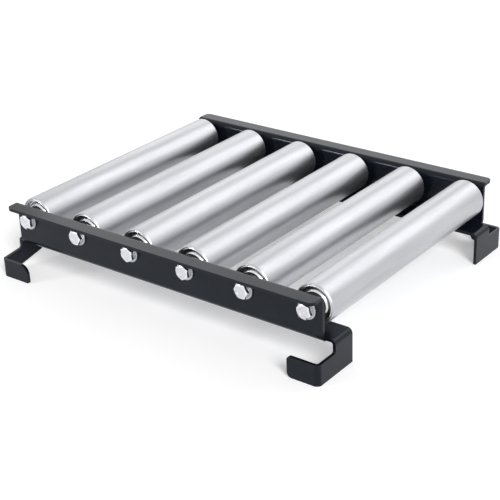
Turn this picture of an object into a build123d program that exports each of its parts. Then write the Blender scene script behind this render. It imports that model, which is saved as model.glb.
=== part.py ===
"""Scale roller top: two bent sheet rails with hooked corners, tied together by six free rollers."""
import os
from itertools import cycle
from build123d import *

# Frame rails, sheet metal bent to a Z section
rail_length = 355.0
rail_height = 43.0
sheet = 3.0
bend_radius = 2.0
top_flange = 14.5
bottom_flange = 30.5
flange_corner = 5.5

# Corner hooks that drop over the weighing platform
hook_reach = 9.3
hook_drop = 29.5
hook_side = 20.5
strip_height = 20.2
notch_radius = 2.0

# The tabs at the ends of the hooks' strips; the left strips slope down to longer, lower tabs
left_strip_rise = 9.5
left_tab_drop = 2.0
left_tab_length = 34.7
left_tab_top = 9.5
left_tab_bottom = 1.5
right_tab_length = 32.2
right_tab_top = 3.5
right_tab_bottom = 5.0

# Rollers
roller_count = 6
roller_diameter = 38.0
roller_wall = 1.5
roller_length = 260.0
roller_rise = 3.7
roller_end_gap = 6.5
axle_margin = 15.0

# Axles, bolts and washers
axle_flats = 11.0
bolt_diameter = 8.0
bolt_length = 16.0
bolt_head_flats = 13.0
bolt_head_height = 5.3
bolt_head_turns = (30, 0, 30, 30, 0, 15)
washer_diameter = 18.0
washer_thickness = 1.6
tapped_depth = 15.0

# Pressed bearing cups
cup_depth = 8.0
cup_recess = 0.3
cup_skirt = 1.5
groove_depth = 5.5
boss_width = 2.3
boss_recess = 0.6

# Extended inner races, ball rows and dust seals
race_wall = 2.7
ball_count = 12
ball_row_width = 3.0
ball_row_start = 3.5
seal_width = 2.2
seal_thickness = 1.5
seal_stand_out = 0.6

# Clearances
axle_fit = 0.05
thread_fit = 0.05
bolt_fit = 0.5
running_gap = 0.3

# Derived places
bend_outer = bend_radius + sheet
bend_middle = bend_radius + sheet / 2
roller_end = roller_length / 2
web_inner = roller_end + roller_end_gap
web_outer = web_inner + sheet
web_middle = web_outer - sheet / 2
flange_edge = web_outer - bottom_flange
plate_face = rail_length / 2 + hook_reach
plate_middle = plate_face - sheet / 2
plate_top_edge = web_outer - bend_outer
tab_outer = web_outer + hook_side
tab_bend = tab_outer - bend_outer
rail_top = hook_drop + rail_height
axle_height = rail_top + roller_rise - roller_diameter / 2
roller_pitch = (rail_length - 2 * axle_margin) / (roller_count - 1)
roller_places = [(i - (roller_count - 1) / 2) * roller_pitch for i in range(roller_count)]

tube_inner = roller_diameter / 2 - roller_wall
groove_outer = tube_inner - cup_skirt
race_radius = axle_flats / 2 + race_wall
seal_radius = race_radius + seal_width
raceway_radius = seal_radius + running_gap
boss_radius = raceway_radius + boss_width

os.makedirs("parts", exist_ok=True)


def save(part, name):
    part.label = name
    export_step(part, f"parts/{name}.step")


# Back rail: top flange turned out, web, bottom flange turned in, hooks at both ends
with BuildPart() as back_rail:
    with BuildSketch(Plane.YZ):
        with BuildLine():
            FilletPolyline(
                (web_outer + top_flange, rail_top - sheet / 2),
                (web_middle, rail_top - sheet / 2),
                (web_middle, hook_drop + sheet / 2),
                (flange_edge, hook_drop + sheet / 2),
                radius=bend_middle,
            )
        trace(line_width=sheet)
    extrude(amount=rail_length / 2, both=True)
    outer_corners = back_rail.edges().filter_by(Axis.Z).group_by(Axis.Y)[-1]
    fillet(outer_corners, flange_corner)
    # Each hook's upper part runs on from the bottom flange and bends down
    for end in (-1, 1):
        with BuildSketch(Plane.XZ.offset(-flange_edge)):
            with BuildLine():
                FilletPolyline(
                    (end * (rail_length / 2 - bend_outer), hook_drop + sheet / 2),
                    (end * plate_middle, hook_drop + sheet / 2),
                    (end * plate_middle, strip_height / 2),
                    radius=bend_middle,
                )
            trace(line_width=sheet)
        extrude(amount=-(plate_top_edge - flange_edge))
    # Each hook's lower part spreads outwards and bends back along the side
    for end, tab_length in ((-1, left_tab_length), (1, right_tab_length)):
        with BuildSketch(Plane.XY):
            with BuildLine():
                FilletPolyline(
                    (end * plate_middle, flange_edge),
                    (end * plate_middle, tab_outer - sheet / 2),
                    (end * (plate_face - tab_length), tab_outer - sheet / 2),
                    radius=bend_middle,
                )
            trace(line_width=sheet)
        extrude(amount=strip_height)
    notches = [
        e for e in back_rail.edges().filter_by(Axis.X)
        if abs(e.center().Y - plate_top_edge) < 0.01 and abs(e.center().Z - strip_height) < 0.01
    ]
    fillet(notches, notch_radius)
    # The left strip is cut back below and above, so that it slopes down to its tab
    with BuildSketch(Plane.YZ.offset(-plate_face)):
        with BuildLine():
            Polyline((flange_edge, 0), (tab_bend, 0), (flange_edge, left_strip_rise), close=True)
        make_face()
        with BuildLine():
            Polyline(
                (plate_top_edge + notch_radius, strip_height),
                (tab_bend, strip_height - left_tab_drop),
                (tab_outer, strip_height - left_tab_drop),
                (tab_outer, strip_height),
                close=True,
            )
        make_face()
    extrude(amount=left_tab_length, mode=Mode.SUBTRACT)
    tab_edges = back_rail.edges().filter_by(Axis.Y).group_by(Axis.Y)[-1]
    for end, z_index, radius in (
        (-1, -1, left_tab_top),
        (-1, 0, left_tab_bottom),
        (1, -1, right_tab_top),
        (1, 0, right_tab_bottom),
    ):
        corner = [e for e in tab_edges if end * e.center().X > 0]
        fillet(ShapeList(corner).sort_by(Axis.Z)[z_index], radius)
    with Locations(*[Plane.XZ.offset(-web_outer) * Pos(x, axle_height) for x in roller_places]):
        Hole(bolt_diameter / 2 + bolt_fit, depth=sheet)

save(back_rail.part, "side_rail_back")
save(mirror(back_rail.part, about=Plane.XZ), "side_rail_front")


# Roller tube, pressed cups, ball rows, extended races, seals and axle of each roller
for number, x in enumerate(roller_places, start=1):
    mid_plane = Plane((x, 0, axle_height), x_dir=(1, 0, 0), z_dir=(0, -1, 0))
    half_section = Plane((x, 0, axle_height), x_dir=(0, 1, 0), z_dir=(1, 0, 0))
    spin_axis = Axis((x, 0, axle_height), (0, 1, 0))

    with BuildPart() as tube:
        with BuildSketch(mid_plane):
            Circle(roller_diameter / 2)
            Circle(tube_inner, mode=Mode.SUBTRACT)
        extrude(amount=roller_end, both=True)
    save(tube.part, f"roller_{number}_tube")

    # The pressed cup: skirt in the tube, deep groove, boss whose bore is the outer raceway
    with BuildPart() as cups:
        with BuildSketch(half_section):
            with BuildLine():
                Polyline(
                    (roller_end - cup_recess, tube_inner),
                    (roller_end - cup_recess, groove_outer),
                    (roller_end - groove_depth, groove_outer),
                    (roller_end - groove_depth, boss_radius),
                    (roller_end - boss_recess, boss_radius),
                    (roller_end - boss_recess, raceway_radius),
                    (roller_end - cup_depth, raceway_radius),
                    (roller_end - cup_depth, tube_inner),
                    close=True,
                )
            make_face()
        revolve(axis=spin_axis)
        mirror(about=Plane.XZ)
    save(cups.part, f"roller_{number}_bearing_cups")

    # The ball row, one flat per ball
    with BuildPart() as ball_rows:
        with BuildSketch(mid_plane.offset(roller_end - ball_row_start - ball_row_width)):
            RegularPolygon(raceway_radius - running_gap, ball_count)
            RegularPolygon(race_radius + running_gap, ball_count, major_radius=False, mode=Mode.SUBTRACT)
        extrude(amount=ball_row_width)
        mirror(about=Plane.XZ)
    save(ball_rows.part, f"roller_{number}_ball_rows")

    # The extended inner race bears on the rail's web and keeps the roller centred
    with BuildPart() as races:
        with BuildSketch(mid_plane.offset(roller_end - cup_depth)):
            Circle(race_radius)
            RegularPolygon(axle_flats / 2 + axle_fit, 6, major_radius=False, mode=Mode.SUBTRACT)
        extrude(amount=web_inner - roller_end + cup_depth)
        mirror(about=Plane.XZ)
    save(races.part, f"roller_{number}_inner_races")

    with BuildPart() as seals:
        with BuildSketch(mid_plane.offset(roller_end + seal_stand_out - seal_thickness)):
            Circle(seal_radius)
            Circle(race_radius, mode=Mode.SUBTRACT)
        extrude(amount=seal_thickness)
        mirror(about=Plane.XZ)
    save(seals.part, f"roller_{number}_dust_seals")

    with BuildPart() as axle:
        with BuildSketch(mid_plane):
            RegularPolygon(axle_flats / 2, 6, major_radius=False)
        extrude(amount=web_inner, both=True)
        for side in (-1, 1):
            with BuildSketch(mid_plane.offset(side * web_inner)):
                Circle(bolt_diameter / 2 + thread_fit)
            extrude(amount=-side * tapped_depth, mode=Mode.SUBTRACT)
    save(axle.part, f"roller_{number}_axle")


# Washers and hexagon bolts on the back web, mirrored to the front web, each head turned as it was tightened
back_web = [Plane((x, web_outer, axle_height), x_dir=(1, 0, 0), z_dir=(0, 1, 0)) for x in roller_places]

with BuildPart() as washers:
    for seat in back_web:
        with BuildSketch(seat):
            Circle(washer_diameter / 2)
            Circle(bolt_diameter / 2 + bolt_fit, mode=Mode.SUBTRACT)
        extrude(amount=washer_thickness)
save(washers.part, "flat_washers_back")
save(mirror(washers.part, about=Plane.XZ), "flat_washers_front")

with BuildPart() as bolts:
    for seat, turn in zip(back_web, cycle(bolt_head_turns)):
        with BuildSketch(seat.offset(washer_thickness)):
            RegularPolygon(bolt_head_flats / 2, 6, major_radius=False, rotation=turn)
        extrude(amount=bolt_head_height)
        with BuildSketch(seat.offset(washer_thickness)):
            Circle(bolt_diameter / 2)
        extrude(amount=-bolt_length)
save(bolts.part, "axle_bolts_back")
save(mirror(bolts.part, about=Plane.XZ), "axle_bolts_front")
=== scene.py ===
"""Looks of the scale roller top: black powder-coated rails, satin zinc rollers, bright zinc hardware."""
import math
from itertools import count, cycle, takewhile
import bmesh
import bpy
from mathutils import Matrix, Vector


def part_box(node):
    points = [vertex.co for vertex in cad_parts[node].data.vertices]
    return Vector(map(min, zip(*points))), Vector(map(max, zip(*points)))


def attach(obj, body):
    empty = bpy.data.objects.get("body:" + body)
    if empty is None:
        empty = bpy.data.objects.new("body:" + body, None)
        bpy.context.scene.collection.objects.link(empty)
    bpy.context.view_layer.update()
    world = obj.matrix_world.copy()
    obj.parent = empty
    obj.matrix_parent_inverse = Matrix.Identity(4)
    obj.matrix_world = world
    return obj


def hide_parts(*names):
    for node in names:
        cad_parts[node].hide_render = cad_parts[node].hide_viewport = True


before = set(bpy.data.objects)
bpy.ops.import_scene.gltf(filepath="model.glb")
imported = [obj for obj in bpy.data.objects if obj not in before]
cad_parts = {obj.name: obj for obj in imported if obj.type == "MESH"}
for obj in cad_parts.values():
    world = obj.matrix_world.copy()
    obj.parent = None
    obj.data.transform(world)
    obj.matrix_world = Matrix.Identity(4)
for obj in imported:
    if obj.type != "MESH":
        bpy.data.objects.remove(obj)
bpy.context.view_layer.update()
MM = 0.001

# Places read from the CAD frame
roller_numbers = list(takewhile(lambda n: f"roller_{n}_tube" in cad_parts, count(1)))
tube_boxes = [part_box(f"roller_{n}_tube") for n in roller_numbers]
roller_places = [(low.x + high.x) / 2 for low, high in tube_boxes]
tube_low, tube_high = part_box("roller_1_tube")
tube_radius = (tube_high.z - tube_low.z) / 2
roller_end = tube_high.y
axle_height = (tube_high.z + tube_low.z) / 2
rail_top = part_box("side_rail_back")[1].z
cup_low, cup_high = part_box("roller_1_bearing_cups")
cup_radius = (cup_high.x - cup_low.x) / 2
seal_low, seal_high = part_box("roller_1_dust_seals")
seal_radius = (seal_high.x - seal_low.x) / 2
seal_face = seal_high.y
race_low, race_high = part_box("roller_1_inner_races")
race_radius = (race_high.x - race_low.x) / 2
washer_low, washer_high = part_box("flat_washers_back")
washer_radius = (washer_high.z - washer_low.z) / 2
web_outer = washer_low.y
head_seat = washer_high.y
head_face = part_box("axle_bolts_back")[1].y

# Tube ends: a rolled edge, its crest and the seam to the cup
tube_wall = 1.5 * MM
tube_roll = 1.3 * MM
tube_crest = 1.1 * MM
crest_round = 0.35 * MM
seam_depth = 0.8 * MM

# Pressed cups
cup_recess = roller_end - cup_high.y
cup_depth = 8.0 * MM
skirt_wall = 1.5 * MM
lip_slope = 0.9 * MM
lip_crest = 0.45 * MM
lip_round = 0.3 * MM
groove_width = 3.0 * MM
groove_depth = 5.5 * MM
groove_round = 1.4 * MM
boss_width = 2.3 * MM
boss_recess = 0.6 * MM
boss_slope = 1.7 * MM
boss_crown = boss_width / 3
press_round = 0.8 * MM
mouth_round = 0.25 * MM

# Dust seals, rails and washers
seal_thickness = 1.5 * MM
seal_round = 0.35 * MM
sheet_round = 0.7 * MM
washer_round = 0.25 * MM
washer_clearance = 0.5 * MM

# Bolts: the heads' turns in degrees, from the first roller on, and shares of the radius that each narrows
shank_radius = 4.0 * MM
bolt_length = 16.0 * MM
bolt_point = 1.0 * MM
point_share = 0.6
bolt_flats = 13.0 * MM
head_turns = (30, 0, 30, 30, 0, 15)
bearing_face = 0.25 * MM
bearing_share = 0.97
chamfer_share = 0.87
chamfer_slope = math.tan(math.radians(30))
face_ring = 3.8 * MM
face_step = 0.25 * MM
dimple_radius = 1.3 * MM
dimple_depth = 0.35 * MM
dimple_share = 0.6

# Fineness of the meshes, the largest share of a side that a rounded corner takes, and the angles that tell
# edges from bends
corner_steps = 6
corner_share = 0.48
roller_segments = 96
washer_segments = 64
bolt_segments = 72
ease_segments = 3
merge_distance = 0.001 * MM
flat_angle = math.radians(0.5)
cut_edge_angle = math.radians(40)
turned_bend = math.radians(35)
sheet_bend = math.radians(50)
bolt_bend = math.radians(20)

# The stretch of a noise's values over which its colour runs from the low one to the high one
noise_span = (0.3, 0.7)

# Light levels, where 1 is white, and places and sizes of the stage in metres
surround_level = 0.38
floor_lift = 0.22
sun_level = 2.7
sun_width = math.radians(25)
sun_from = Vector((0.7, -0.45, 0.55))
lamp_distance = 1.8
lamp_watts = 4.0
floor_reach = 6.0
floor_cloud = 0.4

# Camera, fitted to the photograph: its turn, and its place in its own axes from the rails' top centre
view_azimuth = math.radians(38.08)
view_elevation = math.radians(25.87)
view_roll = math.radians(-2.26)
view_offset = Vector((-1.27, -55.1, 1243.65)) * MM
focal_pixels = 1290.4
frame_pixels = 500
sensor_width = 36
nearest_seen = 0.05


# Mesh helpers

def rounded(points):
    """The closed outline through points, each given with the radius of its corner."""
    outline = []
    for i, (*corner, radius) in enumerate(points):
        corner = Vector(corner)
        before = Vector(points[i - 1][:2]) - corner
        after = Vector(points[(i + 1) % len(points)][:2]) - corner
        half = before.angle(after) / 2
        cut = min(radius / math.tan(half), before.length * corner_share, after.length * corner_share)
        arc_radius = cut * math.tan(half)
        inwards = (before.normalized() + after.normalized()).normalized()
        centre = corner + inwards * (arc_radius / math.sin(half))
        start = corner + before.normalized() * cut - centre
        turn = start.angle_signed(corner + after.normalized() * cut - centre)
        for k in range(corner_steps + 1):
            outline.append(centre + Matrix.Rotation(-turn * k / corner_steps, 2) @ start)
    return outline


def spoke(mesh, x, angle, section):
    """A section's (y, radius) points, turned by an angle about the roller's axis at x."""
    return [
        mesh.verts.new((x + radius * math.sin(angle), y, axle_height + radius * math.cos(angle)))
        for y, radius in section
    ]


def lathe(mesh, x, section, segments):
    """Turns a closed section of (y, radius) points about the roller's axis at x."""
    spokes = [spoke(mesh, x, 2 * math.pi * k / segments, section) for k in range(segments)]
    for k, near in enumerate(spokes):
        far = spokes[(k + 1) % segments]
        for j in range(len(near)):
            i = (j + 1) % len(near)
            mesh.faces.new((near[j], near[i], far[i], far[j]))


def finish_mesh(name, mesh, material, largest_bend=turned_bend):
    """Makes the object of a finished mesh, with its normals outwards and its gentle bends shaded smooth."""
    bmesh.ops.recalc_face_normals(mesh, faces=mesh.faces)
    for face in mesh.faces:
        face.smooth = True
    for edge in mesh.edges:
        edge.smooth = len(edge.link_faces) == 2 and edge.calc_face_angle(0) < largest_bend
    data = bpy.data.meshes.new(name)
    mesh.to_mesh(data)
    mesh.free()
    data.materials.append(material)
    piece = bpy.data.objects.new(name, data)
    bpy.context.scene.collection.objects.link(piece)
    return piece


# Material helpers

def linear(hex_colour):
    """An sRGB hex colour as a linear RGBA colour."""
    channels = [int(hex_colour[i:i + 2], 16) / 255 for i in (0, 2, 4)]
    return [c / 12.92 if c <= 0.04045 else ((c + 0.055) / 1.055) ** 2.4 for c in channels] + [1]


def grey(value):
    """A grey for a ramp that drives roughness."""
    return [value, value, value, 1]


def add(tree, kind, inputs=None, **settings):
    """Adds a node, sets it and feeds its inputs from values or other nodes' sockets."""
    node = tree.nodes.new(kind)
    for name, value in settings.items():
        setattr(node, name, value)
    for name, value in (inputs or {}).items():
        if isinstance(value, bpy.types.NodeSocket):
            tree.links.new(value, node.inputs[name])
        else:
            node.inputs[name].default_value = value
    return node


def new_material(name):
    """An empty node material, its tree and the place of its pattern."""
    material = bpy.data.materials.new(name)
    material.use_nodes = True
    tree = material.node_tree
    tree.nodes.clear()
    return material, tree, add(tree, "ShaderNodeTexCoord").outputs["Object"]


def noise_ramp(tree, place, low, high, size, detail=3.0, stretch=(1, 1, 1)):
    """A noise of the given size in metres, and its run from the low colour to the high one."""
    scaled = add(tree, "ShaderNodeMapping", {"Vector": place, "Scale": stretch})
    noise = add(tree, "ShaderNodeTexNoise", {
        "Vector": scaled.outputs["Vector"], "Scale": 1 / size, "Detail": detail,
    })
    ramp = add(tree, "ShaderNodeValToRGB", {"Fac": noise.outputs["Fac"]})
    for stop, position, colour in zip(ramp.color_ramp.elements, noise_span, (low, high)):
        stop.position = position
        stop.color = colour
    return noise.outputs["Fac"], ramp.outputs["Color"]


def surface(name, colours, cloud, roughness, grain, bump, finish):
    """A material whose tone drifts in a cloud noise, and whose grain noise sets its roughness and bump."""
    material, tree, place = new_material(name)
    _, colour = noise_ramp(tree, place, *map(linear, colours), **cloud)
    height, rough = noise_ramp(tree, place, *map(grey, roughness), **grain)
    relief = add(tree, "ShaderNodeBump", {"Height": height, **bump})
    shader = add(tree, "ShaderNodeBsdfPrincipled", {
        "Base Color": colour, "Roughness": rough, "Normal": relief.outputs["Normal"], **finish,
    })
    add(tree, "ShaderNodeOutputMaterial", {"Surface": shader.outputs["BSDF"]})
    return material


def metal(name, colours, cloud_size, roughness):
    """A plain metal. Its real grain is under 0.1 mm wide, drawn 0.6 mm wide so that it shows."""
    return surface(
        name, colours, {"size": cloud_size}, roughness, {"size": 0.6 * MM, "detail": 4.0},
        {"Strength": 0.08, "Distance": 0.02 * MM}, {"Metallic": 1.0},
    )


# Black powder coat, sprayed on sheet steel and baked: an even black whose sheen draws the flanges and bends.
# Its orange peel is about 0.5 mm wide, drawn 1.1 mm wide so that it shows
coat = surface(
    "powder_coat",
    colours=("0d1016", "12161d"), cloud={"size": 9 * MM},
    roughness=(0.13, 0.19), grain={"size": 1.1 * MM, "detail": 2.0},
    bump={"Strength": 0.12, "Distance": 0.05 * MM},
    finish={"Specular IOR Level": 0.22, "Specular Tint": linear("e9f2ff")},
)

# Zinc plate on drawn steel tube: satin silver with soft long bands of light and faint marks along the tube.
# The real marks are about 0.1 mm wide, drawn 1.5 mm wide so that they show
tube_zinc = surface(
    "satin_zinc",
    colours=("b5b7ba", "c3c4c8"), cloud={"size": 9 * MM, "stretch": (1, 0.08, 1)},
    roughness=(0.32, 0.44), grain={"size": 1.5 * MM, "stretch": (1, 0.5, 1)},
    bump={"Strength": 0.5, "Distance": 0.02 * MM},
    finish={"Metallic": 1.0},
)

# Zinc plate on pressed sheet steel: brighter than the tubes, with clear highlights round each pressed bend
pressed_zinc = metal("pressed_zinc", ("d6d7da", "e4e5e7"), 6 * MM, (0.2, 0.3))

# Bright zinc plate on cold-headed steel bolts: the brightest metal here, with crisp light chamfers
bolt_zinc = metal("bolt_zinc", ("e0e1e5", "f2f3f6"), 3 * MM, (0.14, 0.22))

# The same plate on the stamped faces of the heads, rougher, and drawn darker than on the chamfers: painted
# shade
head_face_shaded_zinc = metal("stamped_face_shaded_zinc", ("c8c9cf", "dadbe0"), 2 * MM, (0.24, 0.34))

# Zinc plate on punched steel washers, duller than the heads; drawn greyer as well, partly painted shade of
# the heads
shaded_washer_zinc = metal("shaded_washer_zinc", ("a6a8ad", "babcc1"), 3 * MM, (0.32, 0.42))

# Bearing steel balls, hardened and polished: almost a mirror
ball_steel = metal("ball_steel", ("c9cacc", "d6d7d9"), 4 * MM, (0.06, 0.12))

# Bearing steel races, hardened and ground: dark grey with a soft gloss
race_steel = metal("race_steel", ("6a6b6f", "7c7d80"), 4 * MM, (0.25, 0.35))

# Bright drawn steel bars of the axles: mid grey, a little dull
axle_steel = metal("axle_steel", ("a4a5a8", "b6b7b9"), 5 * MM, (0.25, 0.4))

# Nylon of the dust seals, moulded with a fine matt grain of 0.3 mm: near black, with no clear highlight
seal_nylon = surface(
    "nylon",
    colours=("26282c", "303237"), cloud={"size": 2.5 * MM},
    roughness=(0.45, 0.6), grain={"size": 0.3 * MM},
    bump={"Strength": 0.15, "Distance": 0.03 * MM},
    finish={},
)


# The rails: the CAD sheet with its cut edges eased
for side in ("front", "back"):
    node = f"side_rail_{side}"
    mesh = bmesh.new()
    mesh.from_mesh(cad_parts[node].data)
    bmesh.ops.remove_doubles(mesh, verts=mesh.verts, dist=merge_distance)
    bmesh.ops.dissolve_limit(mesh, angle_limit=flat_angle, verts=mesh.verts, edges=mesh.edges)
    cut_edges = [e for e in mesh.edges if len(e.link_faces) == 2 and e.calc_face_angle(0) > cut_edge_angle]
    bmesh.ops.bevel(
        mesh, geom=cut_edges, affect="EDGES", offset=sheet_round, segments=ease_segments, profile=0.5,
        clamp_overlap=True,
    )
    rail = finish_mesh(f"coated_rail_{side}", mesh, coat, sheet_bend)
    rail.modifiers.new("even_shading", "WEIGHTED_NORMAL").keep_sharp = True
    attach(rail, "frame")
    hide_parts(node)


# The rollers' tubes, pressed cups and seals, as turned sections with eased edges
tube_half = [
    (roller_end - tube_roll, tube_radius, press_round),
    (roller_end, tube_radius - tube_crest, crest_round),
    (roller_end - seam_depth, tube_radius - tube_wall, mouth_round),
]
tube_section = rounded(tube_half + [(-y, r, corner) for y, r, corner in reversed(tube_half)])
groove_outer = cup_radius - skirt_wall
boss_radius = groove_outer - groove_width
raceway_radius = boss_radius - boss_width
cup_section = rounded([
    (roller_end - cup_recess - lip_slope, cup_radius, mouth_round),
    (roller_end - cup_recess, groove_outer + lip_crest, lip_round),
    (roller_end - cup_recess - lip_crest, groove_outer, mouth_round),
    (roller_end - groove_depth, groove_outer, groove_round),
    (roller_end - groove_depth, boss_radius, groove_round),
    (roller_end - boss_recess - boss_slope, boss_radius, press_round),
    (roller_end - boss_recess, raceway_radius + boss_crown, press_round),
    (roller_end - boss_recess, raceway_radius, mouth_round),
    (roller_end - cup_depth, raceway_radius, mouth_round),
    (roller_end - cup_depth, cup_radius, mouth_round),
])
seal_section = rounded([
    (seal_face - seal_thickness, race_radius, seal_round),
    (seal_face - seal_thickness, seal_radius, seal_round),
    (seal_face, seal_radius, seal_round),
    (seal_face, race_radius, seal_round),
])

for number, x in zip(roller_numbers, roller_places):
    body = f"roller_{number}"
    for part, section, ends, material, slot, carrier in (
        ("tube", tube_section, (1,), tube_zinc, "roller_tubes", body),
        ("bearing_cups", cup_section, (-1, 1), pressed_zinc, "bearing_cups", body),
        ("dust_seals", seal_section, (-1, 1), seal_nylon, "dust_seals", "frame"),
    ):
        mesh = bmesh.new()
        for end in ends:
            lathe(mesh, x, [(end * y, r) for y, r in section], roller_segments)
        piece = finish_mesh(f"turned_{body}_{part}", mesh, material)
        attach(piece, carrier)
        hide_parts(f"{body}_{part}")
    for part, material in (("ball_rows", ball_steel), ("inner_races", race_steel), ("axle", axle_steel)):
        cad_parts[f"{body}_{part}"].data.materials.clear()
        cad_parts[f"{body}_{part}"].data.materials.append(material)


# Washers and bolts on both webs
washer_bore = shank_radius + washer_clearance
washer_section = rounded([
    (web_outer, washer_bore, washer_round),
    (web_outer, washer_radius, washer_round),
    (head_seat, washer_radius, washer_round),
    (head_seat, washer_bore, washer_round),
])


def hex_radius(angle):
    """Distance from a bolt's axis to the side of its head."""
    sixth = math.pi / 3
    return bolt_flats / 2 / math.cos((angle + sixth / 2) % sixth - sixth / 2)


def bolt(mesh, x, side, head_turn):
    """A hexagon bolt along Y: shank, bearing face and chamfered head with a ring and a dimple stamped in."""
    chamfer_start = bolt_flats / 2 * chamfer_share
    stamped_face = [
        (head_face, chamfer_start),
        (head_face, face_ring),
        (head_face - face_step, face_ring - face_step),
        (head_face - face_step, dimple_radius),
        (head_face - face_step - dimple_depth, dimple_radius * dimple_share),
    ]
    spokes = []
    for k in range(bolt_segments):
        angle = 2 * math.pi * k / bolt_segments
        corner = hex_radius(angle - math.radians(head_turn))
        shank_and_sides = [
            (head_seat - bolt_length, shank_radius * point_share),
            (head_seat - bolt_length + bolt_point, shank_radius),
            (head_seat, shank_radius),
            (head_seat, bolt_flats / 2 * bearing_share),
            (head_seat + bearing_face, bolt_flats / 2 * bearing_share),
            (head_seat + bearing_face, corner),
            (head_face - (corner - chamfer_start) * chamfer_slope, corner),
        ]
        spokes.append(spoke(mesh, x, angle, [(side * y, r) for y, r in shank_and_sides + stamped_face]))
    for k, near in enumerate(spokes):
        far = spokes[(k + 1) % bolt_segments]
        for j in range(len(near) - 1):
            face = mesh.faces.new((near[j], near[j + 1], far[j + 1], far[j]))
            face.material_index = int(j >= len(shank_and_sides))
    mesh.faces.new([near[0] for near in spokes])
    mesh.faces.new([near[-1] for near in spokes]).material_index = 1


for side, direction in (("front", -1), ("back", 1)):
    mesh = bmesh.new()
    for x in roller_places:
        lathe(mesh, x, [(direction * y, r) for y, r in washer_section], washer_segments)
    washers = finish_mesh(f"eased_washers_{side}", mesh, shaded_washer_zinc)
    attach(washers, "frame")
    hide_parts(f"flat_washers_{side}")
    mesh = bmesh.new()
    for x, head_turn in zip(roller_places, cycle(head_turns)):
        bolt(mesh, x, direction, head_turn)
    bolts = finish_mesh(f"chamfered_bolts_{side}", mesh, bolt_zinc, bolt_bend)
    # The heads' faces take the second slot: the same plate drawn darker, as painted shade
    bolts.data.materials.append(head_face_shaded_zinc)
    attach(bolts, "frame")
    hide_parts(f"axle_bolts_{side}")


# Camera at the photograph's place
right = Vector((math.cos(view_azimuth), math.sin(view_azimuth), 0))
back = Vector((
    math.sin(view_azimuth) * math.cos(view_elevation),
    -math.cos(view_azimuth) * math.cos(view_elevation),
    math.sin(view_elevation),
))
up = back.cross(right)
turned_right = right * math.cos(view_roll) + up * math.sin(view_roll)
turned_up = up * math.cos(view_roll) - right * math.sin(view_roll)
turn = Matrix((turned_right, turned_up, back)).transposed()
camera_data = bpy.data.cameras.new("camera")
camera_data.sensor_width = sensor_width
camera_data.lens = sensor_width * focal_pixels / frame_pixels
camera_data.clip_start = nearest_seen
camera = bpy.data.objects.new("camera", camera_data)
camera.matrix_world = Matrix.Translation(turn @ view_offset + Vector((0, 0, rail_top))) @ turn.to_4x4()
bpy.context.scene.collection.objects.link(camera)
bpy.context.scene.camera = camera


# Floor and surround, white for the camera and for what metal mirrors; other rays meet the plain level

def shown_rays(tree):
    """1 for rays that see the background directly, in a gloss or through a clear piece."""
    path = add(tree, "ShaderNodeLightPath")
    seen = add(tree, "ShaderNodeMath", {
        0: path.outputs["Is Camera Ray"], 1: path.outputs["Is Glossy Ray"],
    }, operation="MAXIMUM")
    return add(tree, "ShaderNodeMath", {
        0: seen.outputs["Value"], 1: path.outputs["Is Transmission Ray"],
    }, operation="MAXIMUM").outputs["Value"]


def pale_floor():
    """A matt floor that keeps the object's shadow, lifted to white for the rays that show it."""
    material, tree, place = new_material("pale_floor")
    _, colour = noise_ramp(tree, place, linear("efeff0"), linear("f2f2f3"), floor_cloud)
    diffuse = add(tree, "ShaderNodeBsdfDiffuse", {"Color": colour})
    lift = add(tree, "ShaderNodeMath", {0: shown_rays(tree), 1: floor_lift}, operation="MULTIPLY")
    glow = add(tree, "ShaderNodeEmission", {"Color": linear("ffffff"), "Strength": lift.outputs["Value"]})
    both = add(tree, "ShaderNodeAddShader", {0: diffuse.outputs["BSDF"], 1: glow.outputs["Emission"]})
    add(tree, "ShaderNodeOutputMaterial", {"Surface": both.outputs["Shader"]})
    return material


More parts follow.
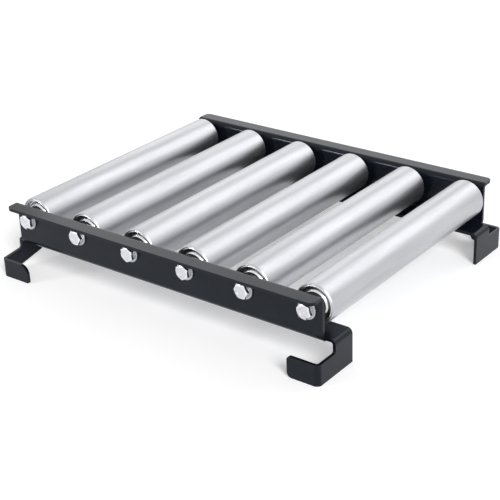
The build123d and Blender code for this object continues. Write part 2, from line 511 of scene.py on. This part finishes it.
def white_surround():
    """A world that is white for the rays that show it, and lights the object at the plain level."""
    world = bpy.data.worlds.new("studio")
    world.use_nodes = True
    tree = world.node_tree
    tree.nodes.clear()
    level = add(tree, "ShaderNodeBackground", {"Color": linear("ffffff"), "Strength": surround_level})
    white = add(tree, "ShaderNodeBackground", {"Color": linear("ffffff"), "Strength": 1.0})
    chosen = add(tree, "ShaderNodeMixShader", {
        0: shown_rays(tree), 1: level.outputs["Background"], 2: white.outputs["Background"],
    })
    add(tree, "ShaderNodeOutputWorld", {"Surface": chosen.outputs["Shader"]})
    return world


floor_mesh = bmesh.new()
bmesh.ops.create_grid(floor_mesh, x_segments=1, y_segments=1, size=floor_reach)
floor = finish_mesh("floor", floor_mesh, pale_floor())
bpy.context.scene.world = white_surround()


# Lamps

def soft_lamp(name, azimuth, elevation, width, height, level):
    """A rectangular lamp that faces the object from a direction in degrees, azimuth from +X towards +Y."""
    azimuth, elevation = math.radians(azimuth), math.radians(elevation)
    away = Vector((
        math.cos(azimuth) * math.cos(elevation),
        math.sin(azimuth) * math.cos(elevation),
        math.sin(elevation),
    ))
    data = bpy.data.lights.new(name, "AREA")
    data.shape = "RECTANGLE"
    data.size, data.size_y = width, height
    data.energy = level * lamp_watts * width * height
    lamp = bpy.data.objects.new(name, data)
    facing = away.to_track_quat("Z", "Y").to_matrix().to_4x4()
    lamp.matrix_world = Matrix.Translation(away * lamp_distance) @ facing
    bpy.context.scene.collection.objects.link(lamp)


# A broad lamp behind the right end draws the bright band along the rollers
soft_lamp("band_lamp", azimuth=67, elevation=41, width=1.3, height=1.25, level=0.85)
# A lower one behind the left end lifts the rails' flanges out of black
soft_lamp("back_lamp", azimuth=126, elevation=27, width=1.1, height=0.6, level=0.6)
# A small strong one, low at the front left, draws fine lines on bends, rims and chamfers
soft_lamp("edge_lamp", azimuth=235, elevation=12, width=0.45, height=0.22, level=28.0)

# The key light, a wide sun from the front right, so that the shadow lies under the deck and behind it
sun_data = bpy.data.lights.new("key_light", "SUN")
sun_data.energy = sun_level
sun_data.angle = sun_width
sun = bpy.data.objects.new("key_light", sun_data)
sun.matrix_world = sun_from.to_track_quat("Z", "Y").to_matrix().to_4x4()
bpy.context.scene.collection.objects.link(sun)

bpy.context.scene.view_settings.view_transform = "Standard"
